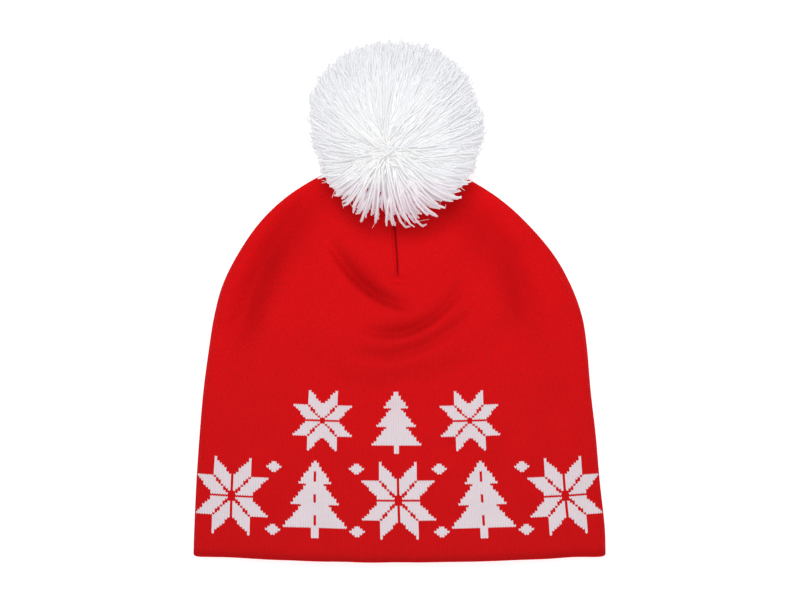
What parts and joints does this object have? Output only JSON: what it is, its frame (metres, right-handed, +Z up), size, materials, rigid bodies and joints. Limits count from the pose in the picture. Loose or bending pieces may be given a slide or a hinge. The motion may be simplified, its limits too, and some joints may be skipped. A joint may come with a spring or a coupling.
{
  "type": "knitted christmas pompom beanie",
  "caption": "Knitted winter beanie lying flat, hollow and open at its turned hem, its rounded crown drawn up under a large yarn pompom.",
  "frame": {"origin": "on the surface the hat lies on, under the middle of the whole hat", "axes": "+X across the hat, +Y from the hem to the pompom, +Z up from the surface, so the front faces up"},
  "size_m": [0.218, 0.2723, 0.0885],
  "materials": {
    "red_knit": "fine double knit in red with white pattern rows, matte",
    "white_yarn": "soft cut yarn, matte"
  },
  "bodies": {
    "root": {"knitted_body": "red_knit", "pompom": "white_yarn", "pompom_tie": "white_yarn"}
  },
  "joints": []
}
